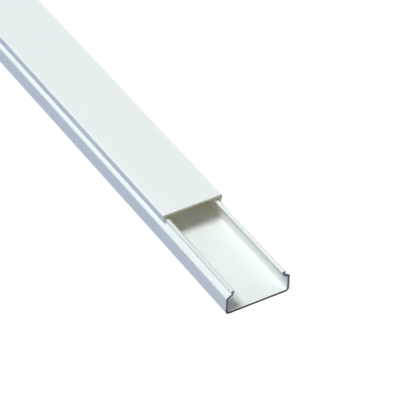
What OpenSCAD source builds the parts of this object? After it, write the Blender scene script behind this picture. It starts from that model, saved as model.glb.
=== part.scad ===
// Two-piece plastic cable trunking: a channel base and a clip-on lid slid part of the way back.
// X runs along the length with the open end at +X, Y across it, Z up from the back of the base. Millimetres.

/* [Length] */
// Length of the base and of the lid, which are cut from the same stock length
length = 1000; // [250:10:3000]
// How far the lid is slid back from the open end of the base
lid_open = 67; // [0:1:200]

/* [Base] */
// Width over the two sides of the base
base_w = 40; // [24:1:100]
// Thickness of the back, the sides and the shoulders
wall_t = 1.4; // [1:0.1:1.8]
// Inside radius between the back and a side
corner_in_r = 1.1; // [0.4:0.1:2]
// Height at which the outer face of a side meets the line of its shoulder
side_h = 11.4; // [9:0.1:40]
// Slope of the shoulders above level, in degrees
shoulder_slope = 31; // [25:1:40]
// Outside radius of the bend between a side and its shoulder
bend_out_r = 1; // [0.5:0.1:2]
// Inside radius of the bend between a side and its shoulder
bend_in_r = 0.3; // [0.2:0.1:0.8]

/* [Lips] */
// Distance from the outer face of a side to the outer face of the neck of its lip
neck_set = 3.3; // [3:0.05:4]
// Thickness of the neck of a lip
neck_t = 1; // [0.8:0.05:1.3]
// Height of the neck from the shoulder to the underside of the barb
neck_h = 0.85; // [0.6:0.05:2]
// Height of the head of a lip from the underside of the barb to its top
head_h = 1; // [0.7:0.05:1.5]
// Reach of the barb outside the neck
barb_out = 0.4; // [0.3:0.05:0.5]
// Reach of the bead inside the neck
bead_in = 1; // [0.2:0.05:1.2]
// Height of the blunt nose of the barb and of the bead
nose_h = 0.35; // [0.15:0.05:0.4]

/* [Lid] */
// Thickness of the flat top of the lid
lid_t = 1.4; // [1:0.1:2]
// Thickness of the skirts of the lid
skirt_t = 1; // [0.8:0.05:1.3]
// Inward lean of the skirts from the upright, in degrees
skirt_lean = 9; // [3:1:12]
// Outside radius along the edges of the lid
lid_r = 1; // [0.6:0.1:1.4]
// Clear height between the top of the lips and the underside of the lid
lip_gap = 2.25; // [0.3:0.05:5]
// Clearance between the lid and the base all round the clip
clip_gap = 0.15; // [0.1:0.01:0.2]

/* [Hidden] */
$fn = 96;
// How far the cut that rounds a corner is drawn past the faces it trims, as a multiple of its own size
past = 1.2;
// How much its circle is drawn over its radius, so that the arc crosses the faces and leaves no sliver
hair = 0.0002;
// Rise of a shoulder for each millimetre inward, and inward step of a skirt for each millimetre down
rise = tan(shoulder_slope);
lean = tan(skirt_lean);
// Height at which the inner face of a side meets the line of the underside of its shoulder
side_in_h = side_h + wall_t * rise - wall_t / cos(shoulder_slope);
// Heights of the underside of the barb and of the top of the lip
barb_z = side_h + neck_set * rise + neck_h;
lip_z = barb_z + head_h;
// Places of the inner face of the neck, the tip of the barb and the tip of the bead
neck_inner = neck_set + neck_t;
barb_tip = neck_set - barb_out;
bead_tip = neck_inner + bead_in;
// Heights of the underside and of the top of the lid
lid_under = lip_z + lip_gap;
lid_top = lid_under + lid_t;
// Places of the inner and of the outer face of a skirt at the level of the underside of the barb
skirt_inner = barb_tip - clip_gap;
skirt_outer = skirt_inner - skirt_t / cos(skirt_lean);
// Place at which the outer face of a skirt meets the line of the top of the lid
edge_u = skirt_outer + lean * (barb_z - lid_top);
// Height of the line of the underside of a skirt, which follows the shoulder, at the outer face of the side
seat_h = side_h + clip_gap / cos(shoulder_slope);
// Place of the foot of a skirt, where its outer face meets that line
foot_u = (skirt_outer + lean * (barb_z - seat_h)) / (1 + lean * rise);
// Tip and top of the hook that catches under the barb
hook_tip = neck_set - clip_gap;
hook_z = barb_z - clip_gap;

// Outline made whole from its half on the -Y side, whose points are measured inward from the side of the base
function whole(half) = concat(
    [for (p = half) [p[0] - base_w / 2, p[1]]],
    [for (i = [len(half) - 1 : -1 : 0]) [base_w / 2 - half[i][0], half[i][1]]]
);

// What rounding to radius r takes off a corner, on both sides, where the edges leave the corner at two angles
module off_corner(corner, r, a0, a1) {
    half = (a1 - a0) / 2;
    run = r / tan(half);
    centre = r / sin(half) * [cos((a0 + a1) / 2), sin((a0 + a1) / 2)];
    cut = [[0, 0], run * [cos(a0), sin(a0)], centre, run * [cos(a1), sin(a1)]];
    for (side = [0, 1]) mirror([side, 0]) translate(corner + centre - [base_w / 2, 0]) difference() {
        polygon([for (p = cut) past * (p - centre)]);
        circle(r = r + hair);
    }
}

// Outside of the base, filled in between its sides up to the top of its lips
module base_outside() {
    difference() {
        polygon(whole([
            [0, 0],
            [0, side_h],
            [neck_set, side_h + neck_set * rise],
            [neck_set, barb_z],
            [barb_tip, barb_z],
            [barb_tip, barb_z + nose_h],
            [neck_set, lip_z]
        ]));
        off_corner([0, 0], corner_in_r + wall_t, 0, 90);
        off_corner([0, side_h], bend_out_r, -90, shoulder_slope);
    }
}

// Cable way of the base and the mouth between its lips
module base_inside() {
    difference() {
        polygon(whole([
            [wall_t, wall_t],
            [wall_t, side_in_h],
            [neck_inner, side_in_h + (neck_inner - wall_t) * rise],
            [neck_inner, lip_z - 2 * nose_h - bead_in],
            [bead_tip, lip_z - 2 * nose_h],
            [bead_tip, lip_z - nose_h],
            [neck_inner, lip_z],
            [neck_inner, lip_z + head_h]
        ]));
        off_corner([wall_t, wall_t], corner_in_r, 0, 90);
        off_corner([wall_t, side_in_h], bend_in_r, -90, shoulder_slope);
    }
}

// Outside of the lid, filled in between its skirts down to their hooks
module lid_outside() {
    difference() {
        polygon(whole([
            [edge_u, lid_top],
            [foot_u, seat_h + foot_u * rise],
            [hook_tip, seat_h + hook_tip * rise]
        ]));
        off_corner([edge_u, lid_top], lid_r, skirt_lean - 90, 0);
    }
}

// Space under the lid between its skirts, and the narrower way into it between the hooks
module lid_inside() {
    polygon(whole([
        [skirt_inner + lean * (barb_z - lid_under), lid_under],
        [skirt_inner + lean * clip_gap, hook_z],
        [hook_tip, hook_z],
        [hook_tip, side_h]
    ]));
}

// A section drawn out along X over the stock length, centred on X = 0
module drawn_out() {
    translate([-length / 2, 0, 0]) rotate([90, 0, 90]) linear_extrude(height = length) children();
}

// Channel base
module base() {
    color("white") drawn_out() difference() {
        base_outside();
        base_inside();
    }
}

// Clip-on lid, slid back from the open end
module lid() {
    color("white") translate([-lid_open, 0, 0]) drawn_out() difference() {
        lid_outside();
        lid_inside();
    }
}

base();
lid();
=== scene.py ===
"""Cable trunking in Blender: an extruded channel base and the clip-on lid that slides along it."""

import math

import bmesh
import bpy
from bpy.props import FloatProperty, FloatVectorProperty, IntProperty, PointerProperty, StringProperty
from mathutils import Matrix, Vector


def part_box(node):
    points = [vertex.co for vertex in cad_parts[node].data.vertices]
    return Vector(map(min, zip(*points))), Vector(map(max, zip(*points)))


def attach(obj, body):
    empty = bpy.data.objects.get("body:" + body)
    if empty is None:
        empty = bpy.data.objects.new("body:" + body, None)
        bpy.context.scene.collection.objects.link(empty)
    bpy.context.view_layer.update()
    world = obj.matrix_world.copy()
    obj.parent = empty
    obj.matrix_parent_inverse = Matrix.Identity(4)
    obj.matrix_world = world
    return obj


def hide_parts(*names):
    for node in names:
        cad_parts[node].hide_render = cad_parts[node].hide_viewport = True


bl_info = {
    "name": "Cable Trunking",
    "version": (1, 0, 0),
    "blender": (4, 5, 0),
    "location": "View3D > Sidebar > Trunking",
    "description": "Builds a length of plastic cable trunking with its lid slid back",
    "category": "Add Mesh",
}

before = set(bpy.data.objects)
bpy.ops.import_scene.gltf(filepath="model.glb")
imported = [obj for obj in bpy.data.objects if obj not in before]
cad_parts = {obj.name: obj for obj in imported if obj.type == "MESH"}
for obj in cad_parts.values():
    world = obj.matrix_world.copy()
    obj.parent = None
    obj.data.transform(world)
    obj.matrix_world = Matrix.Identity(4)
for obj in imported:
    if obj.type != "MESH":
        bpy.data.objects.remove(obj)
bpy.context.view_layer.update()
BASE_LOW, BASE_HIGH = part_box("base")
LID_LOW, LID_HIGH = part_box("lid")

MM = 0.001
# Points nearer to each other than this are one point.
SAME_POINT = MM / 1000
# Edges that turn by less than this are shaded smooth.
SMOOTH_TURN = math.radians(40)
# A face that looks along the length by more than this belongs to a cut end.
CUT_FACING = 0.5
# How far the faces of a lip look outward: the upright wall of its groove, and the slope inside its top.
GROOVE_FACING = 0.9
SLOPE_FACING = (-0.6, -0.1)
# Nearly all values of a noise texture lie between these two.
NOISE_RANGE = {"From_Min": 0.3, "From_Max": 0.7}
PVC_IOR = 1.53


def length_size(name, description, millimetres):
    """A length that the user can change, kept in metres and written here in millimetres."""
    return FloatProperty(
        name=name,
        description=description,
        default=millimetres * MM,
        min=0.0,
        precision=5,
        subtype="DISTANCE",
        unit="LENGTH",
    )


def angle_size(name, description, degrees):
    """An angle that the user can change, kept in radians and written here in degrees."""
    return FloatProperty(
        name=name,
        description=description,
        default=math.radians(degrees),
        subtype="ANGLE",
        unit="ROTATION",
    )


def hex_colour(name, description, value):
    """A colour that the user can change, as an sRGB hex value."""
    return StringProperty(name=name, description=description, default=value, maxlen=7)


def share(name, description, value):
    """A part of a whole that the user can change, from 0 to 1."""
    return FloatProperty(
        name=name,
        description=description,
        default=value,
        min=0.0,
        max=1.0,
        subtype="FACTOR",
    )


def point_place(name, description, metres):
    """A point that the user can move, in metres along X, Y and Z."""
    return FloatVectorProperty(
        name=name,
        description=description,
        default=metres,
        subtype="XYZ",
        unit="LENGTH",
    )


def lamp_face(name, description, metres):
    """The length and the width of a lamp, in metres."""
    return FloatVectorProperty(name=name, description=description, default=metres, size=2, unit="LENGTH")


def lamp_power(name, description, watts):
    """The power of a lamp, in watts."""
    return FloatProperty(name=name, description=description, default=watts, unit="POWER")


class TrunkingSection(bpy.types.PropertyGroup):
    """Sizes of the extruded section of the base and the lid."""

    wall: length_size("Wall", "Thickness of the back, the sides and the shoulders of the base", 1.4)
    corner_inside: length_size("Corner Radius", "Inside radius between the back and a side", 1.1)
    side_height: length_size("Side Height", "Height at which a side meets the line of its shoulder", 11.4)
    shoulder_slope: angle_size("Shoulder Slope", "Slope of the shoulders above level", 31)
    bend_outside: length_size("Bend Outside", "Outside radius between a side and its shoulder", 1.0)
    bend_inside: length_size("Bend Inside", "Inside radius between a side and its shoulder", 0.3)
    neck_set: length_size("Neck Set", "From the outside of a side to that of the neck of its lip", 3.3)
    neck_wall: length_size("Neck Wall", "Thickness of the neck of a lip", 1.0)
    neck_height: length_size("Neck Height", "From the shoulder to the underside of the barb", 0.85)
    head_height: length_size("Head Height", "From the underside of the barb to the top of the lip", 1.0)
    barb_reach: length_size("Barb Reach", "How far the barb stands out from the neck", 0.4)
    bead_reach: length_size("Bead Reach", "How far the bead stands in from the neck", 1.0)
    nose_height: length_size("Nose Height", "Height of the blunt noses of the barb and the bead", 0.35)
    lid_wall: length_size("Lid Wall", "Thickness of the flat top of the lid", 1.4)
    skirt_wall: length_size("Skirt Wall", "Thickness of the skirts of the lid", 1.0)
    skirt_lean: angle_size("Skirt Lean", "Inward lean of the skirts from the upright", 9)
    lid_edge: length_size("Lid Edge Radius", "Outside radius along the edges of the lid", 1.0)
    lip_gap: length_size("Lip Gap", "Clear height from the lips to the underside of the lid", 2.25)
    clip_gap: length_size("Clip Gap", "Clearance all round the clip", 0.15)
    die_radius: length_size("Die Radius", "Radius that the die leaves on other long edges", 0.12)
    cut_easing: length_size("Cut Easing", "How far the edges of the cut ends are eased", 0.08)
    bend_steps: IntProperty(name="Bend Steps", description="Steps round each bend", default=10, min=2)
    die_steps: IntProperty(name="Edge Steps", description="Steps round each small edge", default=3, min=1)
    cut_steps: IntProperty(name="Cut Steps", description="Steps round each cut edge", default=2, min=1)


class TrunkingFinish(bpy.types.PropertyGroup):
    """Colours and finish of the plastic."""

    base_plastic: hex_colour("Base Plastic", "Cool white of the extruded base", "#ECF3F3")
    base_streak: hex_colour("Base Streaks", "Plastic in the fine streaks that the die leaves", "#E4ECEC")
    # Painted light: the lid is the same plastic as the base, given a lighter white so that its top stands
    # as bright as the bounce-lit floor of the channel.
    lit_lid_plastic: hex_colour("Lid Plastic", "Slightly lighter white of the extruded lid", "#F3FAF9")
    lit_lid_streak: hex_colour("Lid Streaks", "Plastic in the fine streaks on the lid", "#EBF3F2")
    # Painted shade: this grey darkens the grooves under the barbs and the slope inside the lip on the -Y
    # side, standing in for their shade.
    painted_shade: hex_colour("Dust", "Grey dust that the lips of the base hold", "#94968E")
    groove_painted_shade: share("Groove Dust", "How much of the grooves under the barbs the dust covers", 1.0)
    slope_painted_shade: share("Slope Dust", "How much of the slope inside one lip the dust covers", 0.35)
    through: hex_colour("Through Light", "Light that has passed through a thin wall", "#FFEEBC")
    through_share: share("Through Share", "Share of the light that enters a thin wall", 0.032)
    sawn: hex_colour("Sawn Plastic", "Plastic where the saw has scuffed it", "#D8DBCB")
    sawn_groove: hex_colour("Saw Marks", "Plastic in the marks of the saw's teeth", "#C8CBB9")
    sawn_soak: share("Saw Soak", "Share of the light that soaks into a clean cut", 0.5)
    # Painted shade: the cut ends of the base are greyed to stand in for the shade that they lie in, and
    # their back edge is darker still.
    shaded_cut: hex_colour("Soiled Cut", "Cut plastic greyed by handling, at the ends of the base", "#9EA2A1")
    shaded_saw_marks: hex_colour("Soiled Saw Marks", "Saw marks that hold dirt, at those ends", "#858784")
    darker_back_edge: hex_colour("Soiled Back", "Thicker dirt on the cut edge of the back", "#585754")


class TrunkingStage(bpy.types.PropertyGroup):
    """Camera, floor and lamps. The lamps are placed from the aim of the camera."""

    aim: point_place("Aim", "Middle of the picture, on the lid near its open end", (0.4314, 0.0054, 0.0189))
    distance: FloatProperty(name="Distance", description="Camera to aim", default=1.511, unit="LENGTH")
    turn: angle_size("Turn", "Turn of the camera from the -Y side towards the open end", 57.119)
    height: angle_size("Height", "Height of the camera above level", 39.877)
    roll: angle_size("Roll", "Roll of the camera", 2.336)
    lens: FloatProperty(name="Lens", description="Focal length", default=250.0, unit="CAMERA")
    floor: hex_colour("Floor", "Pale floor as it is seen", "#FFFFFF")
    floor_lift: share("Floor Lift", "How much of its white the floor shows in shadow too", 0.82)
    floor_shade: hex_colour("Floor Shade", "What the lamps add to the floor as it is seen", "#A2A2A2")
    floor_return: hex_colour("Floor Return", "Dim blue light that the floor sends back", "#1957A1")
    floor_reach: length_size("Floor Reach", "From the middle of the floor to its edges", 6000)
    floor_drop: length_size("Floor Drop", "From the back of the base down to the floor", 0.05)
    key_light: hex_colour("Key Light", "Light of the soft box overhead", "#FEFEFC")
    key_power: lamp_power("Key Power", "Power of the soft box overhead", 115.4)
    key_place: point_place("Key Place", "Above the trunking, towards the -Y side", (0.0, -1.44, 3.3))
    key_face: lamp_face("Key Face", "Length and width of the soft box", (1.2, 1.34))
    back_light: hex_colour("Back Light", "Weak light from behind", "#FFFBF4")
    back_power: lamp_power("Back Power", "Power of the low strip behind", 48.0)
    back_place: point_place("Back Place", "Behind the far end and low down", (-3.2, 2.8, 0.01))
    back_face: lamp_face("Back Face", "Length and width of the low strip", (2.0, 0.04))
    end_light: hex_colour("End Light", "Warm light from beyond the open end", "#FFF0D8")
    end_power: lamp_power("End Power", "Power of the strip beyond the open end", 27.0)
    end_place: point_place("End Place", "Beyond the open end and low down", (4.0, -0.27, 0.1))
    end_face: lamp_face("End Face", "Length and width of the strip", (2.0, 0.15))
    room_light: hex_colour("Room Light", "Light from the rest of the room", "#E1F0FF")
    room_strength: share("Room Strength", "Strength of the light from the rest of the room", 0.165)


def linear_colour(hex_value):
    """The linear colour, with alpha, of an sRGB hex value."""
    parts = [int(hex_value[i:i + 2], 16) / 255 for i in (1, 3, 5)]
    return [c / 12.92 if c <= 0.04045 else ((c + 0.055) / 1.055) ** 2.4 for c in parts] + [1.0]


def add_node(tree, kind, settings=None, **inputs):
    """Adds a node, sets its properties, and gives its inputs a value or a link from another node's output.

    An input goes by its label, with _ for a space, or by the letter i and its number.
    """
    node = tree.nodes.new(kind)
    for name, value in (settings or {}).items():
        setattr(node, name, value)
    for name, value in inputs.items():
        numbered = name[0] == "i" and name[1:].isdigit()
        socket = node.inputs[int(name[1:]) if numbered else name.replace("_", " ")]
        if isinstance(value, bpy.types.NodeSocket):
            tree.links.new(value, socket)
        else:
            socket.default_value = value
    return node


def new_material(name):
    """An empty node material and its tree."""
    material = bpy.data.materials.new(name)
    material.use_nodes = True
    material.node_tree.nodes.clear()
    return material, material.node_tree


def extruded_upvc(name, plain, streak, finish):
    """Unplasticised PVC as it leaves the die, with the colours of its skin and of its streaks."""
    # The die leaves a satin skin: a soft highlight, faint streaks along the length
    # and an almost even cool white.
    material, tree = new_material(name)
    place = add_node(tree, "ShaderNodeTexCoord").outputs["Object"]
    # Real die lines are about 0.3 mm apart, finer than a pixel, so they are drawn 1.6 mm apart.
    streak_length = 700 * MM
    streak_pitch = 1.6 * MM
    along = add_node(
        tree,
        "ShaderNodeMapping",
        Vector=place,
        Scale=(1 / streak_length, 1 / streak_pitch, 1 / streak_pitch),
    )
    streaks = add_node(
        tree, "ShaderNodeTexNoise", Vector=along.outputs[0], Scale=1.0, Detail=3.0, Roughness=0.6
    )
    # The melt drifts slowly, which leaves long patches.
    patch_length = 90 * MM
    patch_width = 25 * MM
    drifting = add_node(
        tree,
        "ShaderNodeMapping",
        Vector=place,
        Scale=(1 / patch_length, 1 / patch_width, 1 / patch_width),
    )
    drift = add_node(
        tree, "ShaderNodeTexNoise", Vector=drifting.outputs[0], Scale=1.0, Detail=2.0, Roughness=0.5
    )
    amount = add_node(
        tree,
        "ShaderNodeMath",
        {"operation": "MULTIPLY"},
        i0=streaks.outputs["Fac"],
        i1=drift.outputs["Fac"],
    )
    colour = add_node(
        tree,
        "ShaderNodeMix",
        {"data_type": "RGBA"},
        Factor=amount.outputs[0],
        i6=linear_colour(plain),
        i7=linear_colour(streak),
    )
    # Painted shade darkens the grooves under the barbs and, thinner, the slope inside one lip.
    # It lies in the same patches.
    painted_shade_mask = add_node(tree, "ShaderNodeAttribute", {"attribute_name": "painted_shade"}).outputs["Fac"]
    patches = add_node(
        tree, "ShaderNodeMapRange", Value=drift.outputs["Fac"], **NOISE_RANGE, To_Min=0.8, To_Max=1.0
    )
    painted_shade = add_node(tree, "ShaderNodeMath", {"operation": "MULTIPLY"}, i0=painted_shade_mask, i1=patches.outputs[0])
    with_painted_shade = add_node(
        tree,
        "ShaderNodeMix",
        {"data_type": "RGBA"},
        Factor=painted_shade.outputs[0],
        i6=colour.outputs[2],
        i7=linear_colour(finish.painted_shade),
    )
    rough = add_node(
        tree, "ShaderNodeMapRange", Value=streaks.outputs["Fac"], **NOISE_RANGE, To_Min=0.36, To_Max=0.46
    )
    bump = add_node(
        tree, "ShaderNodeBump", Strength=0.25, Distance=0.02 * MM, Height=streaks.outputs["Fac"]
    )
    plastic = add_node(
        tree,
        "ShaderNodeBsdfPrincipled",
        Base_Color=with_painted_shade.outputs[2],
        Roughness=rough.outputs[0],
        IOR=PVC_IOR,
        Normal=bump.outputs[0],
    )
    # A little light enters the thin walls, and all of that comes out on their other side, warmer.
    inside = add_node(tree, "ShaderNodeNewGeometry").outputs["Backfacing"]
    passed = add_node(tree, "ShaderNodeMath", {"operation": "MAXIMUM"}, i0=inside, i1=finish.through_share)
    through = add_node(tree, "ShaderNodeBsdfTranslucent", Color=linear_colour(finish.through))
    wall = add_node(
        tree, "ShaderNodeMixShader", i0=passed.outputs[0], i1=plastic.outputs[0], i2=through.outputs[0]
    )
    add_node(tree, "ShaderNodeOutputMaterial", Surface=wall.outputs[0])
    return material


def sawn_upvc(name, face, groove, soak=0.0, back=None):
    """Unplasticised PVC where a fine saw has cut it.

    The colours are those of the face, of its saw marks and, where it is darker, of the edge of the back.
    soak is the share of the light that goes into the cut.
    """
    # The teeth leave a dull, scuffed face with fine slanting marks, darker than the skin of the extrusion.
    material, tree = new_material(name)
    place = add_node(tree, "ShaderNodeTexCoord").outputs["Object"]
    # Marks of a fine saw are about 0.2 mm apart, finer than a pixel, so they are drawn 0.7 mm apart.
    mark_pitch = 0.7 * MM
    mark_length = 14 * MM
    mark_depth = 20 * MM
    mark_slant = math.radians(28)
    slanted = add_node(
        tree,
        "ShaderNodeMapping",
        Vector=place,
        Rotation=(mark_slant, 0.0, 0.0),
        Scale=(1 / mark_depth, 1 / mark_pitch, 1 / mark_length),
    )
    marks = add_node(
        tree, "ShaderNodeTexNoise", Vector=slanted.outputs[0], Scale=1.0, Detail=4.0, Roughness=0.65
    )
    colour = add_node(
        tree,
        "ShaderNodeMix",
        {"data_type": "RGBA"},
        Factor=marks.outputs["Fac"],
        i6=linear_colour(face),
        i7=linear_colour(groove),
    )
    shade = colour.outputs[2]
    if back:
        # The cut edge of the back is darker still, fading out between the two heights below.
        height = add_node(tree, "ShaderNodeSeparateXYZ", Vector=place).outputs["Z"]
        thick_up_to = 1.4 * MM
        thin_from = 3.5 * MM
        bottom_darkening = add_node(
            tree,
            "ShaderNodeMapRange",
            Value=height,
            From_Min=thick_up_to,
            From_Max=thin_from,
            To_Min=1.0,
            To_Max=0.0,
        )
        darker = add_node(
            tree,
            "ShaderNodeMix",
            {"data_type": "RGBA"},
            Factor=bottom_darkening.outputs[0],
            i6=shade,
            i7=linear_colour(back),
        )
        shade = darker.outputs[2]
    rough = add_node(
        tree, "ShaderNodeMapRange", Value=marks.outputs["Fac"], **NOISE_RANGE, To_Min=0.7, To_Max=0.9
    )
    bump = add_node(tree, "ShaderNodeBump", Strength=0.5, Distance=0.05 * MM, Height=marks.outputs["Fac"])
    # Light that falls on the skin beside a clean cut soaks in and comes out of the cut, warmer.
    plastic = add_node(
        tree,
        "ShaderNodeBsdfPrincipled",
        Base_Color=shade,
        Roughness=rough.outputs[0],
        IOR=PVC_IOR,
        Specular_IOR_Level=0.25,
        Subsurface_Weight=soak,
        Subsurface_Radius=(1.0, 0.9, 0.6),
        Subsurface_Scale=1.2 * MM,
        Normal=bump.outputs[0],
    )
    add_node(tree, "ShaderNodeOutputMaterial", Surface=plastic.outputs[0])
    return material


def heights(section):
    """Rise of a shoulder over its run, and heights of the barb's underside and of the lip's top."""
    rise = math.tan(section.shoulder_slope)
    barb = section.side_height + section.neck_set * rise + section.neck_height
    return rise, barb, barb + section.head_height


def base_outline(section, half_width):
    """Half the section of the base, from the middle of its back round its lip to the middle of its floor.

    Each point is its distance in from the side, its height and the radius of its corner.
    """
    rise, barb, lip = heights(section)
    die = section.die_radius
    slope = section.shoulder_slope
    side_inside = section.side_height + section.wall * rise - section.wall / math.cos(slope)
    barb_tip = section.neck_set - section.barb_reach
    neck_inside = section.neck_set + section.neck_wall
    bead_tip = neck_inside + section.bead_reach
    nose = section.nose_height
    return [
        (half_width, 0.0, 0.0),
        (0.0, 0.0, section.corner_inside + section.wall),
        (0.0, section.side_height, section.bend_outside),
        (section.neck_set, section.side_height + section.neck_set * rise, die),
        (section.neck_set, barb, die),
        (barb_tip, barb, die),
        (barb_tip, barb + nose, die),
        (section.neck_set, lip, die),
        (neck_inside, lip, die),
        (bead_tip, lip - nose, die),
        (bead_tip, lip - 2 * nose, die),
        (neck_inside, lip - 2 * nose - section.bead_reach, die),
        (neck_inside, side_inside + (neck_inside - section.wall) * rise, die),
        (section.wall, side_inside, section.bend_inside),
        (section.wall, section.wall, section.corner_inside),
        (half_width, section.wall, 0.0),
    ]


def lid_outline(section, half_width):
    """Half the section of the lid, from the middle of its top round its skirt to the middle below.

    The points are given as those of the base are.
    """
    rise, barb, lip = heights(section)
    die = section.die_radius
    lean = math.tan(section.skirt_lean)
    under = lip + section.lip_gap
    top = under + section.lid_wall
    skirt_inside = section.neck_set - section.barb_reach - section.clip_gap
    skirt_outside = skirt_inside - section.skirt_wall / math.cos(section.skirt_lean)
    seat = section.side_height + section.clip_gap / math.cos(section.shoulder_slope)
    foot = (skirt_outside + lean * (barb - seat)) / (1 + lean * rise)
    hook_tip = section.neck_set - section.clip_gap
    hook = barb - section.clip_gap
    return [
        (half_width, top, 0.0),
        (skirt_outside + lean * (barb - top), top, section.lid_edge),
        (foot, seat + foot * rise, die),
        (hook_tip, seat + hook_tip * rise, die),
        (hook_tip, hook, die),
        (skirt_inside + lean * section.clip_gap, hook, die),
        (skirt_inside + lean * (barb - under), under, die),
        (half_width, under, 0.0),
    ]


def round_corner(mesh, corner, radius, steps):
    """Rounds one corner of a flat outline to a radius."""
    arms = [(edge.other_vert(corner).co - corner.co).normalized() for edge in corner.link_edges]
    half_angle = arms[0].angle(arms[1]) / 2
    bmesh.ops.bevel(
        mesh,
        geom=[corner],
        offset=radius / math.tan(half_angle),
        offset_type="ABSOLUTE",
        affect="VERTICES",
        segments=steps,
        profile=0.5,
        material=-1,
    )


def extrude_outline(section, outline, half_width, start, end):
    """Mirrors half an outline, rounds its corners, draws it out along X and eases the cut ends."""
    mesh = bmesh.new()
    radius = mesh.verts.layers.float.new("radius")
    chain = []
    for inward, height, corner_radius in outline:
        point = mesh.verts.new((end, inward - half_width, height))
        point[radius] = corner_radius
        chain.append(point)
    for near, far in zip(chain, chain[1:]):
        mesh.edges.new((near, far))
    half = mesh.verts[:] + mesh.edges[:]
    bmesh.ops.mirror(mesh, geom=half, matrix=Matrix.Identity(4), merge_dist=SAME_POINT, axis="Y")
    bmesh.ops.remove_doubles(mesh, verts=mesh.verts, dist=SAME_POINT)
    bmesh.ops.contextual_create(mesh, geom=mesh.edges[:])
    for corner in [v for v in mesh.verts if v[radius] > 0.0]:
        steps = section.die_steps if corner[radius] <= section.die_radius else section.bend_steps
        round_corner(mesh, corner, corner[radius], steps)
    mesh.verts.layers.float.remove(radius)
    drawn = bmesh.ops.extrude_face_region(mesh, geom=mesh.faces[:], use_keep_orig=True)
    far_points = [item for item in drawn["geom"] if isinstance(item, bmesh.types.BMVert)]
    bmesh.ops.translate(mesh, verts=far_points, vec=(start - end, 0.0, 0.0))
    bmesh.ops.recalc_face_normals(mesh, faces=mesh.faces[:])
    cut_edges = [e for e in mesh.edges if abs(e.verts[0].co.x - e.verts[1].co.x) < SAME_POINT]
    bmesh.ops.bevel(
        mesh,
        geom=cut_edges,
        offset=section.cut_easing,
        offset_type="OFFSET",
        affect="EDGES",
        segments=section.cut_steps,
        profile=0.5,
        material=-1,
    )
    return mesh


def lay_painted_shade(section, finish, mesh):
    """Marks how much painted shade each face of the base takes: most in the grooves under the barbs, some
    on the slope inside one lip.
    """
    _, barb, lip = heights(section)
    painted_shade = mesh.faces.layers.float.new("painted_shade")
    for face in mesh.faces:
        middle = face.calc_center_median()
        outward = face.normal.y * math.copysign(1.0, middle.y)
        in_groove = barb - section.neck_height < middle.z < barb
        near_top = lip - section.nose_height < middle.z < lip
        if in_groove and outward > GROOVE_FACING:
            face[painted_shade] = finish.groove_painted_shade
        elif near_top and middle.y < 0.0 and SLOPE_FACING[0] < outward < SLOPE_FACING[1]:
            face[painted_shade] = finish.slope_painted_shade


def finish_piece(mesh, name, node, body, materials):
    """Makes an object of an extrusion: skin and sawn ends, smooth bends, and its place in the frame."""
    for face in mesh.faces:
        face.smooth = True
        face.material_index = 1 if abs(face.normal.x) > CUT_FACING else 0
    for edge in mesh.edges:
        edge.smooth = edge.calc_face_angle(0.0) < SMOOTH_TURN
    data = bpy.data.meshes.new(name)
    mesh.to_mesh(data)
    mesh.free()
    for material in materials:
        data.materials.append(material)
    piece = bpy.data.objects.new(name, data)
    bpy.context.scene.collection.objects.link(piece)
    # Flat faces stay flat where they run into a bend.
    even = piece.modifiers.new("even_shading", "WEIGHTED_NORMAL")
    even.keep_sharp = True
    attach(piece, body)
    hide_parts(node)


class TRUNKING_OT_base(bpy.types.Operator):
    """Build the channel base with its barbed lips"""

    bl_idname = "trunking.base"
    bl_label = "Channel Base"

    def execute(self, context):
        section = context.scene.trunking_section
        finish = context.scene.trunking_finish
        half_width = BASE_HIGH.y
        outline = base_outline(section, half_width)
        mesh = extrude_outline(section, outline, half_width, BASE_LOW.x, BASE_HIGH.x)
        # Marks the faces that take the painted shade of the grooves and of one lip's slope.
        lay_painted_shade(section, finish, mesh)
        skin = extruded_upvc("extruded_upvc", finish.base_plastic, finish.base_streak, finish)
        # The cut ends of the base are greyed as painted shade.
        cut = sawn_upvc("shaded_sawn_upvc", finish.shaded_cut, finish.shaded_saw_marks, back=finish.darker_back_edge)
        finish_piece(mesh, "channel_base", "base", "base", [skin, cut])
        return {"FINISHED"}


class TRUNKING_OT_lid(bpy.types.Operator):
    """Build the clip-on lid with its hooked skirts"""

    bl_idname = "trunking.lid"
    bl_label = "Clip-on Lid"

    def execute(self, context):
        section = context.scene.trunking_section
        finish = context.scene.trunking_finish
        half_width = BASE_HIGH.y
        outline = lid_outline(section, half_width)
        mesh = extrude_outline(section, outline, half_width, LID_LOW.x, LID_HIGH.x)
        # The lid's lighter white is painted light.
        skin = extruded_upvc("painted_light_extruded_upvc", finish.lit_lid_plastic, finish.lit_lid_streak, finish)
        cut = sawn_upvc("sawn_upvc", finish.sawn, finish.sawn_groove, soak=finish.sawn_soak)
        finish_piece(mesh, "clip_on_lid", "lid", "lid", [skin, cut])
        return {"FINISHED"}


def white_to_the_eye(tree):
    """A factor of 1 for rays that show the background: direct, off a gloss or through clear material."""
    path = add_node(tree, "ShaderNodeLightPath")
    seen = path.outputs["Is Camera Ray"]
    for way in ("Is Glossy Ray", "Is Transmission Ray"):
        either = add_node(tree, "ShaderNodeMath", {"operation": "MAXIMUM"}, i0=seen, i1=path.outputs[way])
        seen = either.outputs[0]
    return seen


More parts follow.
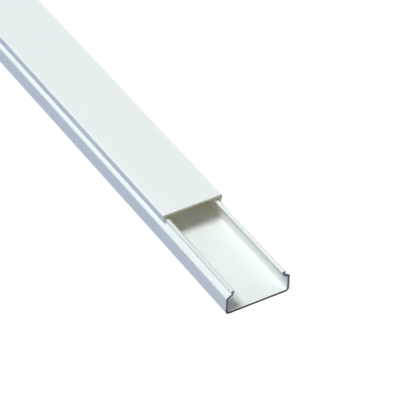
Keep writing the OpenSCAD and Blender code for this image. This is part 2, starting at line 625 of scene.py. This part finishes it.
def floor_paper(stage):
    """Matt paper that looks white and sends only a dim blue light back to what lies on it."""
    material, tree = new_material("matt_paper")
    # A smooth matt sheet: no highlight, and only the soft shadow of what lies on it.
    lit = add_node(tree, "ShaderNodeBsdfDiffuse", Color=linear_colour(stage.floor_shade))
    lift = add_node(tree, "ShaderNodeEmission", Color=linear_colour(stage.floor), Strength=stage.floor_lift)
    sheet = add_node(tree, "ShaderNodeAddShader", i0=lit.outputs[0], i1=lift.outputs[0])
    back = add_node(tree, "ShaderNodeBsdfDiffuse", Color=linear_colour(stage.floor_return))
    choice = add_node(
        tree, "ShaderNodeMixShader", i0=white_to_the_eye(tree), i1=back.outputs[0], i2=sheet.outputs[0]
    )
    add_node(tree, "ShaderNodeOutputMaterial", Surface=choice.outputs[0])
    return material


def lay_floor(scene, stage):
    """Lays the sheet a hair below the back of the base, so that the two never share a plane."""
    sheet = bmesh.new()
    bmesh.ops.create_grid(sheet, x_segments=1, y_segments=1, size=stage.floor_reach)
    bmesh.ops.translate(sheet, verts=sheet.verts[:], vec=(0.0, 0.0, BASE_LOW.z - stage.floor_drop))
    data = bpy.data.meshes.new("floor")
    sheet.to_mesh(data)
    sheet.free()
    data.materials.append(floor_paper(stage))
    floor = bpy.data.objects.new("floor", data)
    scene.collection.objects.link(floor)


def soft_box(scene, name, colour, power, face, offset, target):
    """A rectangular lamp, placed from a point and turned towards it."""
    lamp = bpy.data.lights.new(name, "AREA")
    lamp.shape = "RECTANGLE"
    lamp.size, lamp.size_y = face
    lamp.energy = power
    lamp.color = linear_colour(colour)[:3]
    lamp_object = bpy.data.objects.new(name, lamp)
    place = target + Vector(offset)
    lamp_object.location = place
    lamp_object.rotation_euler = (target - place).to_track_quat("-Z", "Y").to_euler()
    scene.collection.objects.link(lamp_object)


def studio_world(stage):
    """A room that looks white and gives a weak cool light."""
    world = bpy.data.worlds.new("studio")
    world.use_nodes = True
    tree = world.node_tree
    tree.nodes.clear()
    room = add_node(
        tree, "ShaderNodeBackground", Color=linear_colour(stage.room_light), Strength=stage.room_strength
    )
    white = add_node(tree, "ShaderNodeBackground", Color=linear_colour(stage.floor), Strength=1.0)
    choice = add_node(
        tree, "ShaderNodeMixShader", i0=white_to_the_eye(tree), i1=room.outputs[0], i2=white.outputs[0]
    )
    add_node(tree, "ShaderNodeOutputWorld", Surface=choice.outputs[0])
    return world


def place_camera(scene, stage, aim):
    """Sets the camera on a line out from its aim, given by its turn and its height."""
    out = Vector(
        (
            math.cos(stage.height) * math.sin(stage.turn),
            -math.cos(stage.height) * math.cos(stage.turn),
            math.sin(stage.height),
        )
    )
    camera = bpy.data.cameras.new("camera")
    camera.lens = stage.lens
    camera.sensor_width = 36.0
    camera.sensor_fit = "HORIZONTAL"
    camera_object = bpy.data.objects.new("camera", camera)
    level = (-out).to_track_quat("-Z", "Y").to_matrix().to_4x4()
    rolled = level @ Matrix.Rotation(stage.roll, 4, "Z")
    camera_object.matrix_world = Matrix.Translation(aim + out * stage.distance) @ rolled
    scene.collection.objects.link(camera_object)
    scene.camera = camera_object


class TRUNKING_OT_stage(bpy.types.Operator):
    """Build the floor, the lamps, the background and the camera"""

    bl_idname = "trunking.stage"
    bl_label = "Stage"

    def execute(self, context):
        scene = context.scene
        stage = scene.trunking_stage
        aim = Vector(stage.aim)
        lay_floor(scene, stage)
        lamps = (
            ("key_light", stage.key_light, stage.key_power, stage.key_face, stage.key_place),
            ("back_light", stage.back_light, stage.back_power, stage.back_face, stage.back_place),
            ("end_light", stage.end_light, stage.end_power, stage.end_face, stage.end_place),
        )
        for name, colour, power, face, offset in lamps:
            soft_box(scene, name, colour, power, face, offset, aim)
        scene.world = studio_world(stage)
        scene.view_settings.view_transform = "Standard"
        place_camera(scene, stage, aim)
        return {"FINISHED"}


class VIEW3D_PT_trunking(bpy.types.Panel):
    """Buttons and sizes of the trunking"""

    bl_label = "Cable Trunking"
    bl_space_type = "VIEW_3D"
    bl_region_type = "UI"
    bl_category = "Trunking"

    def draw(self, context):
        layout = self.layout
        for operator in (TRUNKING_OT_base, TRUNKING_OT_lid, TRUNKING_OT_stage):
            layout.operator(operator.bl_idname)
        for group in ("trunking_section", "trunking_finish", "trunking_stage"):
            box = layout.box()
            settings = getattr(context.scene, group)
            for name in settings.__annotations__:
                box.prop(settings, name)


CLASSES = (
    TrunkingSection,
    TrunkingFinish,
    TrunkingStage,
    TRUNKING_OT_base,
    TRUNKING_OT_lid,
    TRUNKING_OT_stage,
    VIEW3D_PT_trunking,
)


def register():
    """Adds the classes and gives the scene its settings."""
    for item in CLASSES:
        bpy.utils.register_class(item)
    bpy.types.Scene.trunking_section = PointerProperty(type=TrunkingSection)
    bpy.types.Scene.trunking_finish = PointerProperty(type=TrunkingFinish)
    bpy.types.Scene.trunking_stage = PointerProperty(type=TrunkingStage)


def unregister():
    """Takes the settings and the classes away again."""
    del bpy.types.Scene.trunking_section
    del bpy.types.Scene.trunking_finish
    del bpy.types.Scene.trunking_stage
    for item in reversed(CLASSES):
        bpy.utils.unregister_class(item)


def main():
    """Builds the trunking and its stage."""
    register()
    bpy.ops.trunking.base()
    bpy.ops.trunking.lid()
    bpy.ops.trunking.stage()


if __name__ == "__main__":
    main()
